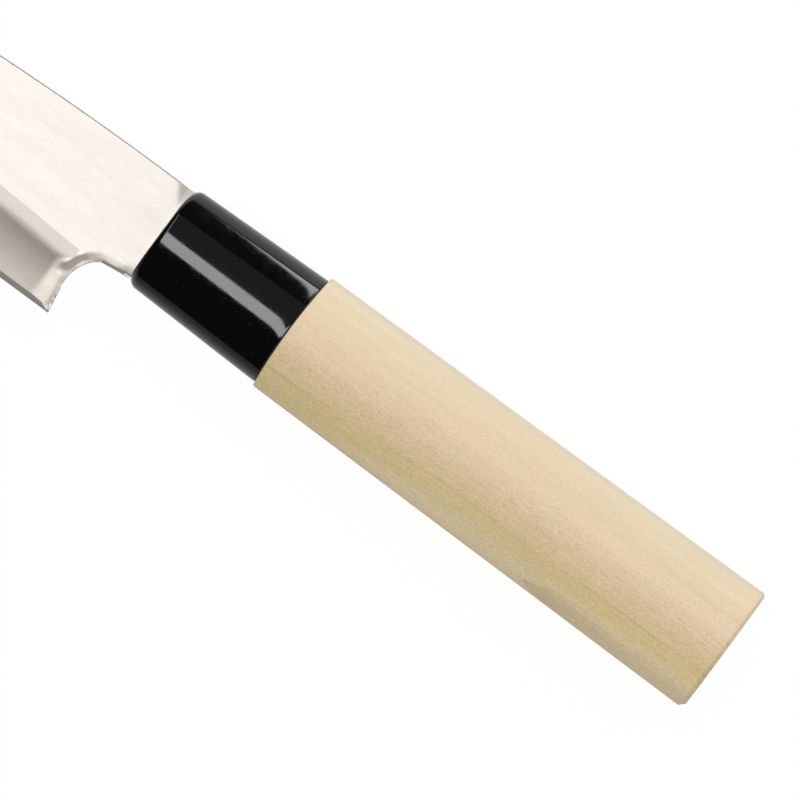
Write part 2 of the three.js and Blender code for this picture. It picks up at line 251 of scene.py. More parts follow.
polished = add_node(
    ground, "Mix", {0: polish, 6: grey_tint, 7: polish_tint.outputs[2]}, data_type="RGBA"
)
ground.links.new(polished.outputs[2], ground_tint)

blade_shape = bmesh.new()
blade_shape.from_mesh(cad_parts["blade"].data)
bmesh.ops.remove_doubles(blade_shape, verts=blade_shape.verts, dist=MERGE_REACH)
bmesh.ops.dissolve_limit(
    blade_shape, angle_limit=SAME_PLANE, verts=blade_shape.verts, edges=blade_shape.edges
)


def in_plane(place):
    """A point of the blade in its own plane, from the ferrule's front on the handle's axis."""
    return Vector((place.x - ferrule_low.x, place.y - AXIS_Y))


def ridge_height(x):
    """How far the ridge line is above the edge."""
    return BEVEL_HEIGHT + (HEEL.x - x) * BEVEL_SPREAD


def ground_half(place):
    """Half the steel's thickness as it leaves the wheel: flat, band, soft turn and hollow."""
    up = place.y - HEEL.y
    height = ridge_height(place.x)
    foot = height - RIDGE_BAND
    foot_half = HALF_STEEL - RIDGE_BAND_FALL

    def hollow(at):
        share = (at - HONED_HEIGHT) / (foot - HONED_HEIGHT)
        return HONED_HALF + share * (foot_half - HONED_HALF) - 4 * HOLLOW_DEPTH * share * (1 - share)

    def band(at):
        return foot_half + (at - foot) / RIDGE_BAND * RIDGE_BAND_FALL

    turn = (up - foot + BAND_BLEND) / (2 * BAND_BLEND)
    if up >= height:
        return HALF_STEEL
    if turn >= 1:
        return band(up)
    if turn <= 0:
        return hollow(up)
    ends = (1 - turn) ** 2 * hollow(foot - BAND_BLEND) + turn**2 * band(foot + BAND_BLEND)
    return ends + 2 * turn * (1 - turn) * foot_half


choil_start = CHOIL_CORNER + (HEEL - CHOIL_CORNER).normalized() * CHOIL_RISE
choil_end = CHOIL_CORNER + (NECK_FOOT - CHOIL_CORNER).normalized() * CHOIL_RUN
heel_line = [HEEL.lerp(choil_start, i / OUTLINE_STEPS) for i in range(OUTLINE_STEPS)]
choil_line = geometry.interpolate_bezier(
    choil_start.to_3d(),
    choil_start.lerp(CHOIL_CORNER, CHOIL_FULLNESS).to_3d(),
    choil_end.lerp(CHOIL_CORNER, CHOIL_FULLNESS).to_3d(),
    choil_end.to_3d(),
    OUTLINE_STEPS,
)
neck_line = [choil_end.lerp(NECK_FOOT, i / OUTLINE_STEPS) for i in range(1, OUTLINE_STEPS + 1)]
outline = heel_line + [point.to_2d() for point in choil_line] + neck_line
outline_tree = kdtree.KDTree(len(outline))
outline_buff = []
for i, point in enumerate(outline):
    passed = i / OUTLINE_STEPS
    on_choil = (passed - CHOIL_BUFF_FROM) / (CHOIL_BUFF_FULL - CHOIL_BUFF_FROM)
    on_neck = (passed - NECK_BUFF_FROM) / (NECK_BUFF_FULL - NECK_BUFF_FROM)
    buff = Vector(HEEL_BUFF).lerp(Vector(CHOIL_BUFF), min(max(on_choil, 0), 1))
    outline_buff.append(buff.lerp(Vector(NECK_BUFF), min(max(on_neck, 0), 1)))
    outline_tree.insert(point.to_3d(), i)
outline_tree.balance()


def eased(reach, softness=BUFF_SOFTNESS):
    """How far a facet of slope 1 has fallen at this reach from its inner edge, which is soft."""
    reach = max(reach, 0)
    return reach**2 / (2 * softness) if reach < softness else reach - softness / 2


def buffed_half(place, gap, buff):
    """Half the steel's thickness after the rear edge was eased by hand on a soft belt: a broad facet, and a
    steeper one along the outline."""
    width, slope, outer_width, outer_slope = buff
    whole = ground_half(place)
    fall = slope * eased(width - gap) + outer_slope * eased(outer_width - gap)
    return max(whole - fall, LEAST_LEFT * whole)


def shoulder_fall(place):
    """How much the neck's corners fall away on each face where it runs into the ferrule."""
    reach = place.x + SHOULDER_LEAN * abs(place.y - SHOULDER_LIFT) - SHOULDER_START
    return SHOULDER_SLOPE * eased(reach, SHOULDER_SOFTNESS) if place.x > SHOULDER_X else 0


def broad_faces(low, high):
    """Faces of the blade's two sides whose middle is in this box of the blade's plane."""
    for face in blade_shape.faces:
        place = in_plane(face.calc_center_median())
        inside = low.x < place.x < high.x and low.y < place.y < high.y
        if abs(face.normal.z) > BROAD_TILT and inside:
            yield face


def cut_faces(faces, point, normal):
    """A cut through these faces of the blade by the plane at this point."""
    geom = {*faces}
    geom |= {part for face in geom for part in (*face.edges, *face.verts)}
    bmesh.ops.bisect_plane(blade_shape, geom=list(geom), dist=CUT_REACH, plane_co=point, plane_no=normal)


everywhere = Vector((1, 1))
for low, high in BUFFED_ZONES:
    cut_faces(broad_faces(-everywhere, everywhere), (ferrule_low.x + low.x, 0, 0), (1, 0, 0))
    for y in (low.y, high.y):
        behind = broad_faces(Vector((low.x, -1)), Vector((0, 1)))
        cut_faces(behind, (0, AXIS_Y + y, 0), (0, 1, 0))
    for i in range(1, math.ceil((high.x - low.x) / BUFFED_CELL)):
        cut_faces(broad_faces(low, high), (ferrule_low.x + low.x + i * BUFFED_CELL, 0, 0), (1, 0, 0))
    for i in range(1, math.ceil((high.y - low.y) / BUFFED_CELL)):
        cut_faces(broad_faces(low, high), (0, AXIS_Y + low.y + i * BUFFED_CELL, 0), (0, 1, 0))
buffed_faces = {face for low, high in BUFFED_ZONES for face in broad_faces(low, high)}
for vert in {vert for face in buffed_faces for vert in face.verts}:
    place = in_plane(vert.co)
    rise = vert.co.z - BLADE_PLANE
    _, nearest, gap = outline_tree.find(place.to_3d())
    if gap < RIM_REACH or place.y > SPINE_RIM:
        continue
    half = buffed_half(place, gap, outline_buff[nearest]) - shoulder_fall(place)
    vert.co.z = BLADE_PLANE + math.copysign(half, rise)
for vert in blade_shape.verts:
    if -NECK_END < vert.co.x - ferrule_low.x < EDGE_REACH:
        reach = abs(vert.co.y - AXIS_Y) / FERRULE_HALF_HEIGHT
        vert.co.x += NECK_RUN_IN + NECK_CORNER_RUN_IN * reach**6
blade_shape.normal_update()
for face in blade_shape.faces:
    face.smooth = True
    steep = abs(face.normal.z)
    place = in_plane(face.calc_center_median())
    ahead = place.x < BUFFED_ZONES[0][0].x
    below_ridge = place.x < NECK_FOOT.x and place.y - HEEL.y < ridge_height(place.x)
    on_bevel = steep > GROUND_TILT if ahead else below_ridge
    if any(abs(vert.co.z - BLADE_PLANE) < EDGE_REACH for vert in face.verts) and steep > GROUND_TILT:
        face.material_index = HONED
    elif on_bevel and FLAT_TILT > steep > BROAD_TILT:
        face.material_index = GROUND
    else:
        face.material_index = SATIN
for edge in blade_shape.edges:
    finishes = {face.material_index for face in edge.link_faces}
    flats = [face for face in edge.link_faces if abs(face.normal.z) > FLAT_TILT]
    ridge = GROUND in finishes and len(flats) == 1
    honed = HONED in finishes and len(finishes) == 2
    edge.smooth = edge.calc_face_angle(0) < CRISP_TURN and not ridge and not honed
add_piece("ground_blade", blade_shape, [satin_steel, ground_steel, honed_steel], "blade")

# Ferrule: a moulded cap of black resin, polished to a high gloss, that closes the front of the wood. The tang
# passes through a slot in its front wall, and the grip's tenon is glued into the socket behind that wall.
OVAL_SIDES = 160
OVAL_POWER = 2.15
SLOT_POWER = 40
FERRULE_FRONT = (19.3 * MM, 15.6 * MM)
FERRULE_REAR = (20.65 * MM, 16.7 * MM)
NOSE_BACK = 0.2 * MM
NOSE_CROWN = 0.25 * MM
NOSE_RADIUS = 0.8 * MM
NOSE_END_GROWTH = 1.0 * MM
MOUTH_RUN = 3.6 * MM
MOUTH_DRAW = 0.045 * MM
MOUTH_LIP = 0.3 * MM
JOINT_BOW = 0.5 * MM
JOINT_BOW_MIDDLE = 0.46
FERRULE_WALL = 2 * MM
FRONT_WALL = 3 * MM
SLOT = (7 * MM, 2.4 * MM)
ROUND_STEPS = 10
BODY_STEPS = 8
CRISP_CORNER = math.radians(25)


def add_ring(shape, x, size, power=OVAL_POWER, cap=False, lift=0.0):
    """A closed ring across the handle. Power 2 is an ellipse, more is squarer. Lift is towards the spine."""
    ring = bmesh.ops.create_circle(shape, segments=OVAL_SIDES, radius=1.0, cap_ends=cap)["verts"]
    for vert in ring:
        across, along = vert.co.x, vert.co.y
        stretch = (abs(across) ** power + abs(along) ** power) ** (-1 / power)
        vert.co = (x, AXIS_Y + lift + size[0] / 2 * along * stretch, AXIS_Z + size[1] / 2 * across * stretch)
    return ring


def join_rings(shape, rings):
    """A skin from each ring to the next, smooth but for its corners."""
    for one, other in zip(rings, rings[1:]):
        edges = {edge for vert in one + other for edge in vert.link_edges}
        loops = [edge for edge in edges if {*edge.verts} <= {*one} or {*edge.verts} <= {*other}]
        bmesh.ops.bridge_loops(shape, edges=loops)
    bmesh.ops.recalc_face_normals(shape, faces=shape.faces)
    for face in shape.faces:
        face.smooth = len(face.verts) < OVAL_SIDES
    for edge in shape.edges:
        edge.smooth = edge.calc_face_angle(0) < CRISP_CORNER


def ferrule_size(x):
    """Height and thickness of the ferrule's outer skin, which tapers to the front."""
    share = (x - ferrule_low.x) / (ferrule_high.x - ferrule_low.x)
    return [front + share * (rear - front) for front, rear in zip(FERRULE_FRONT, FERRULE_REAR)]


def bow_joint(ring, share):
    """A bend of this ring towards the joint of ferrule and wood, which was sanded a little hollow."""
    for vert in ring:
        reach = 2 * (vert.co.y - AXIS_Y) / FERRULE_REAR[0]
        vert.co.x += share * JOINT_BOW * (reach**2 - JOINT_BOW_MIDDLE)


ferrule_shape = bmesh.new()
slot_front = add_ring(ferrule_shape, ferrule_low.x + NOSE_BACK, SLOT, power=SLOT_POWER)
ferrule_rings = [slot_front]
for step in range(ROUND_STEPS + 1):
    turn = math.pi / 2 * step / ROUND_STEPS
    ring = add_ring(ferrule_shape, ferrule_low.x, FERRULE_FRONT)
    for vert in ring:
        reach = 2 * abs(vert.co.y - AXIS_Y) / FERRULE_FRONT[0]
        radius = NOSE_RADIUS + NOSE_END_GROWTH * reach**4
        x = ferrule_low.x + NOSE_BACK + NOSE_CROWN * reach**6 + radius * (1 - math.cos(turn))
        rim = Vector((0, vert.co.y - AXIS_Y, vert.co.z - AXIS_Z)) * (ferrule_size(x)[0] / FERRULE_FRONT[0])
        rim -= rim.normalized() * radius * (1 - math.sin(turn))
        vert.co = Vector((x, AXIS_Y, AXIS_Z)) + rim
    ferrule_rings.append(ring)
mouth_x = ferrule_high.x - MOUTH_RUN
for step in range(1, BODY_STEPS):
    x = ferrule_low.x + step / BODY_STEPS * (mouth_x - ferrule_low.x)
    ferrule_rings.append(add_ring(ferrule_shape, x, ferrule_size(x)))
for step in range(ROUND_STEPS + 1):
    share = step / ROUND_STEPS
    x = mouth_x + (MOUTH_RUN - MOUTH_LIP) * share
    height, thickness = ferrule_size(x)
    ring = add_ring(ferrule_shape, x, (height, thickness - 2 * MOUTH_DRAW * share**3))
    bow_joint(ring, share**2)
    ferrule_rings.append(ring)
for step in range(1, ROUND_STEPS + 1):
    turn = math.pi / 2 * step / ROUND_STEPS
    lost = 2 * MOUTH_LIP * (1 - math.cos(turn))
    x = ferrule_high.x - MOUTH_LIP * (1 - math.sin(turn))
    height, thickness = ferrule_size(ferrule_high.x)
    ring = add_ring(ferrule_shape, x, (height - lost, thickness - 2 * MOUTH_DRAW - lost))
    bow_joint(ring, 1.0)
    ferrule_rings.append(ring)
for x in (ferrule_high.x, ferrule_low.x + FRONT_WALL):
    ferrule_rings.append(add_ring(ferrule_shape, x, [side - 2 * FERRULE_WALL for side in ferrule_size(x)]))
ferrule_rings.append(add_ring(ferrule_shape, ferrule_low.x + FRONT_WALL, SLOT, power=SLOT_POWER))
join_rings(ferrule_shape, ferrule_rings + [slot_front])

# Polished black resin: a deep black gloss that mirrors the lamps, a little wavy from the buffing wheel, with
# the odd speck of dust.
WAVE_SIZE = (6 * MM, 4 * MM, 4 * MM)
WAVE_DEPTH = 0.004 * MM
HAZE_SIZE = (1.5 * MM, 1.5 * MM, 1.5 * MM)
DUST_SPACING = (2 * MM, 2 * MM, 2 * MM)
black_resin, resin_shader = new_finish("Polished black resin", {"IOR": 1.58})
resin = black_resin.node_tree
resin_place = add_node(resin, "TexCoord", {}).outputs["Object"]
wave_place = add_node(
    resin, "Mapping", {"Vector": resin_place, "Scale": WAVE_SIZE}, vector_type="TEXTURE"
)
waves = add_node(resin, "TexNoise", {"Vector": wave_place, "Scale": 1.0, "Detail": 1.0})
wavy = add_node(resin, "Bump", {"Strength": 1.0, "Distance": WAVE_DEPTH, "Height": waves})
haze_place = add_node(
    resin, "Mapping", {"Vector": resin_place, "Scale": HAZE_SIZE}, vector_type="TEXTURE"
)
haze = add_node(resin, "TexNoise", {"Vector": haze_place, "Scale": 1.0, "Detail": 4.0})
resin_gloss = add_node(resin, "MapRange", {0: haze, 1: 0.35, 2: 0.7, 3: 0.05, 4: 0.09})
dust_place = add_node(
    resin, "Mapping", {"Vector": resin_place, "Scale": DUST_SPACING}, vector_type="TEXTURE"
)
dust_gap = add_node(resin, "TexVoronoi", {"Vector": dust_place, "Scale": 1.0})
dust = add_node(resin, "MapRange", {0: dust_gap, 1: 0.03, 2: 0.06, 3: 1.0, 4: 0.0})
resin_tint = add_node(
    resin, "Mix", {0: dust, 6: linear("#060607"), 7: linear("#3C3B39")}, data_type="RGBA"
)
resin.links.new(resin_tint.outputs[2], resin_shader.inputs["Base Color"])
resin.links.new(resin_gloss.outputs[0], resin_shader.inputs["Roughness"])
resin.links.new(wavy.outputs[0], resin_shader.inputs["Normal"])
add_piece("resin_ferrule", ferrule_shape, [black_resin], "ferrule")

# Grip: one piece of pale magnolia wood, turned oval, sanded and left bare. It widens to the butt, stands a
# little proud of the ferrule, and has a tenon glued into the ferrule and a blind bore for the tang.
GRIP_PROUD = 0.68 * MM
GRIP_BUTT = (23.25 * MM, 19.2 * MM)
FRONT_ROUND = 0.4 * MM
BUTT_CHAMFER_SPINE = 0.45 * MM
BUTT_CHAMFER_EDGE = 0.9 * MM
TENON_GAP = 0.3 * MM
BORE = (8.8 * MM, 8.8 * MM)
BORE_END = 53.05 * MM
grip_low, grip_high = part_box("grip")
joint_x = ferrule_high.x
grip_front = [side + 2 * GRIP_PROUD for side in FERRULE_REAR]

grip_shape = bmesh.new()
grip_rings = [
    add_ring(grip_shape, joint_x + BORE_END, BORE, power=2, cap=True),
    add_ring(grip_shape, grip_low.x, BORE, power=2),
]
for x in (grip_low.x, joint_x):
    tenon = [side - 2 * (FERRULE_WALL + TENON_GAP) for side in ferrule_size(x)]
    grip_rings.append(add_ring(grip_shape, x, tenon))
for step in range(ROUND_STEPS + 1):
    turn = math.pi / 2 * step / ROUND_STEPS
    lost = 2 * FRONT_ROUND * (1 - math.sin(turn))
    x = joint_x + FRONT_ROUND * (1 - math.cos(turn))
    ring = add_ring(grip_shape, x, [side - lost for side in grip_front])
    bow_joint(ring, 1.0)
    grip_rings.append(ring)
chamfer = (BUTT_CHAMFER_SPINE + BUTT_CHAMFER_EDGE) / 2
chamfer_lean = (BUTT_CHAMFER_EDGE - BUTT_CHAMFER_SPINE) / 2
chamfer_start = add_ring(grip_shape, grip_high.x - chamfer, GRIP_BUTT)
bmesh.ops.rotate(
    grip_shape,
    verts=chamfer_start,
    cent=(grip_high.x - chamfer, AXIS_Y, AXIS_Z),
    matrix=Matrix.Rotation(-math.atan(2 * chamfer_lean / GRIP_BUTT[0]), 3, "Z"),
)
butt_face = [side - 2 * chamfer for side in GRIP_BUTT]
grip_rings.append(chamfer_start)
grip_rings.append(add_ring(grip_shape, grip_high.x, butt_face, cap=True, lift=chamfer_lean))
join_rings(grip_shape, grip_rings)

# Sanded magnolia wood: pale cream sapwood that turns olive below one growth line, with soft pink and yellow
# clouds, fine fibres along the grip, short dark dashes where the cream turns, a darker lens where the surface
# cuts the next ring, and darker end grain. Lengths are in millimetres, from the joint on the handle's axis.
SAPWOOD_TO_HEART = {
    18.0: "#E6D7BF",
    15.6: "#E4D2B5",
    11.5: "#E3CEB0",
    8.0: "#E4CDAF",
    4.9: "#E0C9A7",
    3.3: "#DAC2A1",
    0.7: "#D8C199",
    -0.5: "#D8C292",
    -1.6: "#DAC596",
    -2.4: "#E3CFA7",
    -3.0: "#E3CFAB",
}
RING_LOW, RING_HIGH = -4.0, 20.0
RING_LEAN = -0.37
RING_LIFT = 3.3
RING_WANDER = 1.4
GROWTH_LINE_RUN = 45.0
GROWTH_LINE_FRONT = -6.3
GROWTH_LINE_REAR = -4.95
GROWTH_LINE_HALF = 0.22
DASH_DEPTH = 3.0
LENS_POINT = (54.0, -10.2)
LENS_FULL_X = 60.0
LENS_FULL_Y = (-12.0, -8.9)
LENS_PALE_X = 80.0
LENS_SIDE = 3.5
END_GRAIN_X = (88.0, 88.8)
magnolia_wood, wood_shader = new_finish("Sanded magnolia wood", {"Specular IOR Level": 0.35})
wood = magnolia_wood.node_tree
wood_place = add_node(
    wood,
    "Mapping",
    {
        "Vector": add_node(wood, "TexCoord", {}).outputs["Object"],
        "Location": (joint_x, AXIS_Y, AXIS_Z),
        "Scale": (MM, MM, MM),
    },
    vector_type="TEXTURE",
)
wood_way = add_node(wood, "SeparateXYZ", {0: wood_place})
along, towards_spine, towards_eye = wood_way.outputs


def wood_streaks(length, width, detail):
    """Cloudy streaks, so long along the grip and so wide across it."""
    stretched = add_node(
        wood, "Mapping", {"Vector": wood_place, "Scale": (length, width, width)}, vector_type="TEXTURE"
    )
    return add_node(wood, "TexNoise", {"Vector": stretched, "Scale": 1.0, "Detail": detail})


growth_line = add_node(
    wood,
    "MapRange",
    {0: along, 1: 0.0, 2: GROWTH_LINE_RUN, 3: GROWTH_LINE_FRONT, 4: GROWTH_LINE_REAR},
    interpolation_type="SMOOTHSTEP",
)
above_line = add_node(wood, "Math", {0: towards_spine, 1: growth_line}, operation="SUBTRACT")
ring_lean = add_node(
    wood, "Math", {0: towards_eye, 1: RING_LEAN, 2: RING_LIFT}, operation="MULTIPLY_ADD"
)
ring_rise = add_node(wood, "Math", {0: above_line, 1: ring_lean}, operation="ADD")
ring_wander = add_node(wood, "Math", {0: wood_streaks(30.0, 9.0, 2.0), 1: 0.5}, operation="SUBTRACT")
ring_depth = add_node(
    wood, "Math", {0: ring_wander, 1: RING_WANDER, 2: ring_rise}, operation="MULTIPLY_ADD"
)
ring_share = add_node(wood, "MapRange", {0: ring_depth, 1: RING_LOW, 2: RING_HIGH})
ring_tint = add_node(wood, "ValToRGB", {0: ring_share})
ring_stops = ring_tint.color_ramp.elements
ring_stops.remove(ring_stops[0])
for order, (depth, code) in enumerate(sorted(SAPWOOD_TO_HEART.items())):
    share = (depth - RING_LOW) / (RING_HIGH - RING_LOW)
    stop = ring_stops.new(share) if order else ring_stops[0]
    stop.position = share
    stop.color = linear(code)
pink_share = add_node(wood, "MapRange", {0: wood_streaks(3.4, 2.4, 2.0), 1: 0.3, 2: 0.7})
pink_clouds = add_node(
    wood, "Mix", {0: pink_share, 6: linear("#FDFFF8"), 7: linear("#FFFCFA")}, data_type="RGBA"
)
clouded = add_node(
    wood, "Mix", {0: 1.0, 6: ring_tint, 7: pink_clouds.outputs[2]}, data_type="RGBA", blend_type="MULTIPLY"
)

long_fibres = add_node(
    wood, "Math", {0: wood_streaks(7.0, 0.25, 2.0), 1: 0.14, 2: -0.23}, operation="MULTIPLY_ADD"
)
fibres = add_node(
    wood, "Math", {0: wood_streaks(0.6, 0.22, 1.0), 1: 0.32, 2: long_fibres}, operation="MULTIPLY_ADD"
)
pores = add_node(wood, "MapRange", {0: wood_streaks(1.3, 0.14, 1.0), 1: 0.66, 2: 0.74, 3: 0.0, 4: -0.07})
pored = add_node(wood, "Math", {0: fibres, 1: pores}, operation="ADD")
grain_strength = add_node(
    wood,
    "MapRange",
    {0: ring_depth, 1: 0.0, 2: 13.0, 3: 1.5, 4: 0.56},
    interpolation_type="SMOOTHSTEP",
)
faint_rings = add_node(
    wood, "Math", {0: wood_streaks(45.0, 1.5, 2.0), 1: 0.14, 2: 0.93}, operation="MULTIPLY_ADD"
)
grain = add_node(wood, "Math", {0: pored, 1: grain_strength, 2: faint_rings}, operation="MULTIPLY_ADD")

dashes = wood_streaks(2.4, 0.2, 1.0)
dash_marks = add_node(wood, "MapRange", {0: dashes, 1: 0.6, 2: 0.7, 3: 0.0, 4: -0.12})
dash_gap = add_node(wood, "Math", {0: ring_depth, 1: DASH_DEPTH}, operation="SUBTRACT")
dash_reach = add_node(wood, "Math", {0: dash_gap}, operation="ABSOLUTE")
dash_zone = add_node(
    wood, "MapRange", {0: dash_reach, 1: 1.0, 2: 3.5, 3: 1.0, 4: 0.1}, interpolation_type="SMOOTHSTEP"
)
dashed = add_node(wood, "Math", {0: dash_marks, 1: dash_zone, 2: grain}, operation="MULTIPLY_ADD")

line_gap = add_node(wood, "Math", {0: ring_depth}, operation="ABSOLUTE")
line_clouds = wood_streaks(22.0, 4.0, 1.0)
line_strength = add_node(wood, "MapRange", {0: line_clouds, 1: 0.35, 2: 0.6, 3: -0.05, 4: -0.13})
line_fade = add_node(
    wood,
    "MapRange",
    {0: line_gap, 1: 0.0, 2: GROWTH_LINE_HALF, 3: 1.0, 4: 0.0},
    interpolation_type="SMOOTHSTEP",
)
lined = add_node(wood, "Math", {0: line_strength, 1: line_fade, 2: dashed}, operation="MULTIPLY_ADD")

lens_x, lens_y = LENS_POINT
lens_low, lens_high = LENS_FULL_Y
lens_top = add_node(
    wood,
    "MapRange",
    {0: along, 1: lens_x, 2: LENS_FULL_X, 3: lens_y, 4: lens_high},
    interpolation_type="SMOOTHSTEP",
)
lens_foot = add_node(wood, "MapRange", {0: along, 1: lens_x, 2: LENS_FULL_X, 3: lens_y, 4: lens_low})
under_top = add_node(wood, "Math", {0: lens_top, 1: towards_spine}, operation="SUBTRACT")
over_foot = add_node(wood, "Math", {0: towards_spine, 1: lens_foot}, operation="SUBTRACT")
lens_reach = add_node(wood, "Math", {0: under_top, 1: over_foot}, operation="MINIMUM")
lens_share = add_node(wood, "MapRange", {0: lens_reach, 1: -0.05, 2: 0.25})
lens_strength = add_node(
    wood,
    "MapRange",
    {0: along, 1: lens_x, 2: LENS_PALE_X, 3: -0.16, 4: -0.07},
    interpolation_type="SMOOTHSTEP",
)
lens_side = add_node(
    wood, "MapRange", {0: towards_eye, 1: 0.0, 2: LENS_SIDE}, interpolation_type="SMOOTHSTEP"
)
lens_shown = add_node(wood, "Math", {0: lens_share, 1: lens_side}, operation="MULTIPLY")
lensed = add_node(wood, "Math", {0: lens_shown, 1: lens_strength, 2: lined}, operation="MULTIPLY_ADD")

end_share = add_node(wood, "MapRange", {0: along, 1: END_GRAIN_X[0], 2: END_GRAIN_X[1]})
end_specks = wood_streaks(0.8, 0.8, 2.0)
scuffs = add_node(wood, "MapRange", {0: end_specks, 1: 0.5, 2: 0.68, 3: -0.06, 4: -0.22})
wood_light = add_node(wood, "Math", {0: end_share, 1: scuffs, 2: lensed}, operation="MULTIPLY_ADD")
wood_tint = add_node(
    wood, "VectorMath", {0: clouded.outputs[2], "Scale": wood_light}, operation="SCALE"
)
wood_gloss = add_node(wood, "MapRange", {0: fibres, 1: -0.05, 2: 0.05, 3: 0.72, 4: 0.6})
wood_height = add_node(wood, "Math", {0: fibres, 1: 5.0, 2: pores}, operation="MULTIPLY_ADD")
wood_relief = add_node(wood, "Bump", {"Strength": 1.0, "Distance": 0.02 * MM, "Height": wood_height})
wood.links.new(wood_tint.outputs[0], wood_shader.inputs["Base Color"])
wood.links.new(wood_gloss.outputs[0], wood_shader.inputs["Roughness"])
wood.links.new(wood_relief.outputs[0], wood_shader.inputs["Normal"])
add_piece("wood_grip", grip_shape, [magnolia_wood], "grip")

# Adhesive: the cured plug of amber resin that fills the bore round the tang and holds the blade. It was
# poured in as a liquid, so it is clouded and has small bubbles.
AMBER_CLOUD = (2 * MM, 2 * MM, 2 * MM)
BUBBLES_PER_CLOUD = 2.0
BUBBLE_DEPTH = 0.1 * MM
amber_adhesive, amber_shader = new_finish("Cured amber adhesive", {"Roughness": 0.45})
amber = amber_adhesive.node_tree
amber_place = add_node(
    amber,
    "Mapping",
    {"Vector": add_node(amber, "TexCoord", {}).outputs["Object"], "Scale": AMBER_CLOUD},
    vector_type="TEXTURE",
)
amber_clouds = add_node(amber, "TexNoise", {"Vector": amber_place, "Scale": 1.0, "Detail": 3.0})
amber_tint = add_node(
    amber, "Mix", {0: amber_clouds, 6: linear("#A87C38"), 7: linear("#C79C55")}, data_type="RGBA"
)
bubbles = add_node(amber, "TexVoronoi", {"Vector": amber_place, "Scale": BUBBLES_PER_CLOUD})
pitted = add_node(amber, "Bump", {"Strength": 0.4, "Distance": BUBBLE_DEPTH, "Height": bubbles})
amber.links.new(amber_tint.outputs[2], amber_shader.inputs["Base Color"])
amber.links.new(pitted.outputs[0], amber_shader.inputs["Normal"])
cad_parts["tang_adhesive"].material_slots[0].material = amber_adhesive

# Table: a white paper sweep under the knife. It is white to the eye and keeps a soft shadow. In reflections
# it shows a painted pool of light near the knife, which darkens away from a spot behind the spine.
FLOOR_SIDE = 6.0
FLOOR_DROP = 0.05 * MM
WHITE_TO_EYE = 0.98
PAINTED_LIGHT_SPOT = (0, 0.07, 0)
NEAR_REACH = (0.06, 0.12)
NEAR_WHITE = (0.75, 0.3)
FAR_REACH = (0.2, 0.42)
FAR_WHITE = (1.0, 0.13)
white_paper, paper_shader = new_finish(
    "White paper", {"Base Color": linear("#F4F3F1"), "Roughness": 0.9, "Specular IOR Level": 0.0}
)
paper = white_paper.node_tree
path = add_node(paper, "LightPath", {}).outputs
mirrored = add_node(
    paper, "Math", {0: path["Is Glossy Ray"], 1: path["Is Transmission Ray"]}, operation="MAXIMUM"
)
white_share = add_node(
    paper, "Math", {0: path["Is Camera Ray"], 1: WHITE_TO_EYE, 2: mirrored}, operation="MULTIPLY_ADD"
)
# Painted pool of light for reflections: the paper's glow is brightest near a spot behind the spine and
# darkens with distance from it.
paper_place = add_node(paper, "TexCoord", {}).outputs["Object"]
spot_gap = add_node(paper, "VectorMath", {0: paper_place, 1: PAINTED_LIGHT_SPOT}, operation="DISTANCE")
painted_reflected_light = add_node(paper, "Math", {}, operation="MULTIPLY")
for order, (reach, white) in enumerate(((NEAR_REACH, NEAR_WHITE), (FAR_REACH, FAR_WHITE))):
    faded = add_node(
        paper,
        "MapRange",
        {0: spot_gap.outputs["Value"], 1: reach[0], 2: reach[1], 3: white[0], 4: white[1]},
    )
    paper.links.new(faded.outputs[0], painted_reflected_light.inputs[order])
white_level = add_node(
    paper, "Mix", {0: path["Is Camera Ray"], 2: painted_reflected_light, 3: 1.0}, data_type="FLOAT"
)
glow = add_node(paper, "Emission", {"Color": linear("#FFFFFF"), "Strength": white_level})
paper_look = add_node(paper, "MixShader", {0: white_share, 1: paper_shader, 2: glow})
paper.links.new(paper_look.outputs[0], paper.nodes["Material Output"].inputs["Surface"])
floor_shape = bmesh.new()
bmesh.ops.create_grid(floor_shape, x_segments=1, y_segments=1, size=FLOOR_SIDE / 2)
bmesh.ops.translate(floor_shape, verts=floor_shape.verts, vec=(0, 0, -FLOOR_DROP))
floor_mesh = bpy.data.meshes.new("floor")
floor_shape.to_mesh(floor_mesh)
floor_shape.free()
floor_mesh.materials.append(white_paper)
floor = bpy.data.objects.new("floor", floor_mesh)
bpy.context.scene.collection.objects.link(floor)

# Studio: a strip softbox overhead, a tall card on the spine's side that fades at one end, a broad soft fill,
# and three side cards that flags keep off the handle. The room is even to matt surfaces. To shiny ones it is
# dark, with a pale patch overhead and a pale end behind the butt.
PHOTO_TURN = math.radians(36.5)
STRIP_PLACE = (-0.42, 0.473, 1.2)
STRIP_SIZE = (0.17, 1.85)
STRIP_POWER = 5.4
CARD_SIZE = (0.12, 0.5)
CARD_DISTANCE = 0.6
CARD_POWER = 0.95
CARD_LEAN = math.radians(6.3)
CARD_FOOT_X = -17 * MM
CARD_FADE = 0.06
SIDE_CARD_HEIGHT = 0.75
SIDE_CARD_REACH = 1.0
# Each side card's turn round the knife, its width, its shift towards the tip and its power.
SIDE_CARDS = {
    "edge_side_card": (0, 1.25, 0.375, 2.25),
    "spine_side_card": (180, 1.25, 0.375, 0.94),
    "tip_side_card": (270, 2.0, 0.0, 3.6),
}
FILL_SIZE = (1.2, 0.7)
FILL_PLACE = (0.03, 1.06, 1.06)
FILL_POWER = 6.1
ROOM_LIGHT = 0.58
DARK_ROOM = 0.027
PALE_PATCH = 0.165
PALE_END = 1.1


def add_lamp(name, size, power, place, turn):
    """A rectangular lamp that the camera doesn't see."""
    lamp = bpy.data.lights.new(name, "AREA")
    lamp.shape = "RECTANGLE"
    lamp.size, lamp.size_y = size
    lamp.energy = power
    holder = bpy.data.objects.new(name, lamp)
    holder.location = place
    holder.rotation_euler = turn
    holder.visible_camera = False
    bpy.context.scene.collection.objects.link(holder)
    return holder


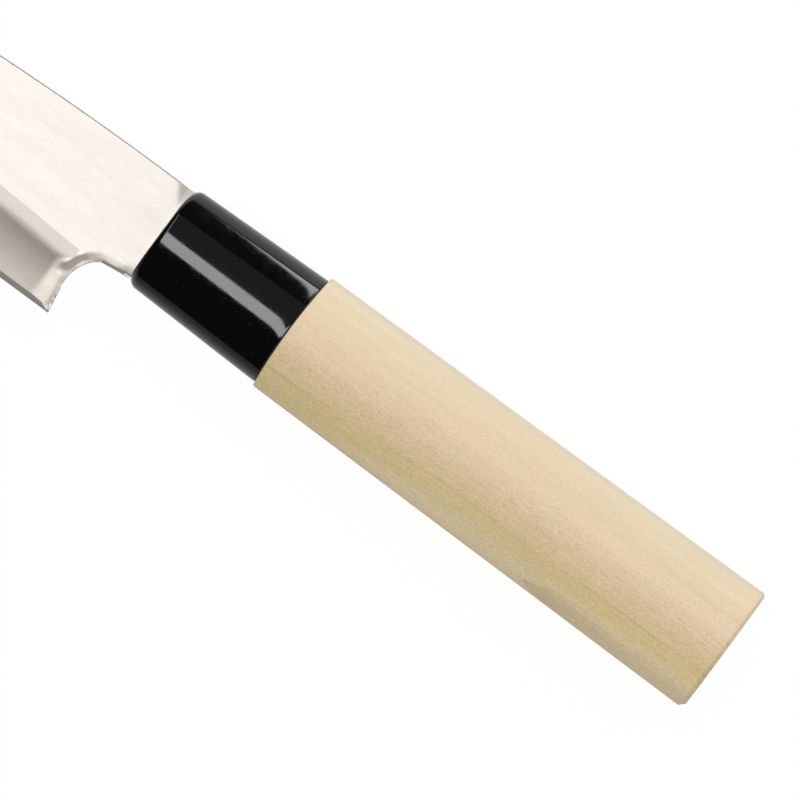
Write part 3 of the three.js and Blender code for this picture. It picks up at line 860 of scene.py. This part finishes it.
ferrule_front = Vector((ferrule_low.x, AXIS_Y, AXIS_Z))
strip_centre = ferrule_front + Vector(STRIP_PLACE)
add_lamp("strip_softbox", STRIP_SIZE, STRIP_POWER, strip_centre, (0, 0, PHOTO_TURN))
card_shift = CARD_SIZE[0] / 2 + CARD_SIZE[1] / 2 * math.tan(CARD_LEAN)
card_centre = (ferrule_low.x + CARD_FOOT_X + card_shift, AXIS_Y + CARD_DISTANCE, CARD_SIZE[1] / 2)
card_turn = (math.pi / 2, -CARD_LEAN, math.pi)
spine_card = add_lamp("spine_card", CARD_SIZE, CARD_POWER, card_centre, card_turn)
spine_card.visible_diffuse = False
spine_card.data.use_nodes = True
card = spine_card.data.node_tree
card_place = add_node(card, "NewGeometry", {}).outputs["Parametric"]
card_across = add_node(card, "SeparateXYZ", {0: card_place}).outputs["X"]
card_fade = add_node(card, "MapRange", {0: card_across, 1: 1.0, 2: 1.0 - CARD_FADE})
card.links.new(card_fade.outputs[0], card.nodes["Emission"].inputs["Strength"])
flagged_steel = bpy.data.collections.new("steel that the side cards light")
flagged_steel.objects.link(bpy.data.objects["ground_blade"])
for name, (side, width, shift, power) in SIDE_CARDS.items():
    turn = math.radians(side)
    place = Vector((math.sin(turn), -math.cos(turn), 0)) * SIDE_CARD_REACH
    place += Vector((-shift, 0, SIDE_CARD_HEIGHT / 2))
    side_card = add_lamp(name, (width, SIDE_CARD_HEIGHT), power, place, (math.pi / 2, 0, turn))
    side_card.light_linking.receiver_collection = flagged_steel
fill_centre = ferrule_front + Vector(FILL_PLACE)
soft_fill = add_lamp("soft_fill", FILL_SIZE, FILL_POWER, fill_centre, (-math.pi / 4, 0, 0))
soft_fill.visible_glossy = False

room = bpy.data.worlds.new("studio")
bpy.context.scene.world = room
room.use_nodes = True
sky = room.node_tree
sky_path = add_node(sky, "LightPath", {}).outputs
sky_way = add_node(sky, "SeparateXYZ", {0: add_node(sky, "TexCoord", {}).outputs["Generated"]})
sky_x, sky_y, sky_z = sky_way.outputs
patch_height = add_node(sky, "MapRange", {0: sky_z, 1: 0.735, 2: 0.765, 3: 0.0, 4: PALE_PATCH})
patch_side = add_node(sky, "MapRange", {0: sky_y, 1: 0.0, 2: 0.05, 3: 0.0, 4: 1.0})
pale_patch = add_node(sky, "Math", {0: patch_height, 1: patch_side}, operation="MULTIPLY")
end_side = add_node(sky, "MapRange", {0: sky_x, 1: 0.15, 2: 0.35, 3: 0.0, 4: PALE_END})
end_height = add_node(sky, "MapRange", {0: sky_z, 1: 0.85, 2: 0.95, 3: 1.0, 4: 0.0})
pale_end = add_node(sky, "Math", {0: end_side, 1: end_height, 2: DARK_ROOM}, operation="MULTIPLY_ADD")
mirrored_room = add_node(sky, "Math", {0: pale_patch, 1: pale_end}, operation="ADD")
lit = add_node(
    sky, "Mix", {0: sky_path["Is Glossy Ray"], 2: ROOM_LIGHT, 3: mirrored_room}, data_type="FLOAT"
)
shown = add_node(sky, "Mix", {0: sky_path["Is Camera Ray"], 2: lit, 3: 1.0}, data_type="FLOAT")
sky.links.new(shown.outputs[0], sky.nodes["Background"].inputs["Strength"])
sky.nodes["Background"].inputs["Color"].default_value = linear("#FFFFFF")

# Camera: straight above the knife, far off with a long lens, turned so that the knife runs from the upper
# left to the lower right.
VIEW_WIDTH = 132 * MM
CAMERA_PLACE = (48.3 * MM, 1.54 * MM, 5.0)
SENSOR_WIDTH = 36
eye = bpy.data.cameras.new("camera")
eye.sensor_width = SENSOR_WIDTH
eye.lens = SENSOR_WIDTH * CAMERA_PLACE[2] / VIEW_WIDTH
camera = bpy.data.objects.new("camera", eye)
camera.location = ferrule_front + Vector(CAMERA_PLACE)
camera.rotation_euler = (0, 0, PHOTO_TURN)
bpy.context.scene.collection.objects.link(camera)
bpy.context.scene.camera = camera
bpy.context.scene.view_settings.view_transform = "Standard"
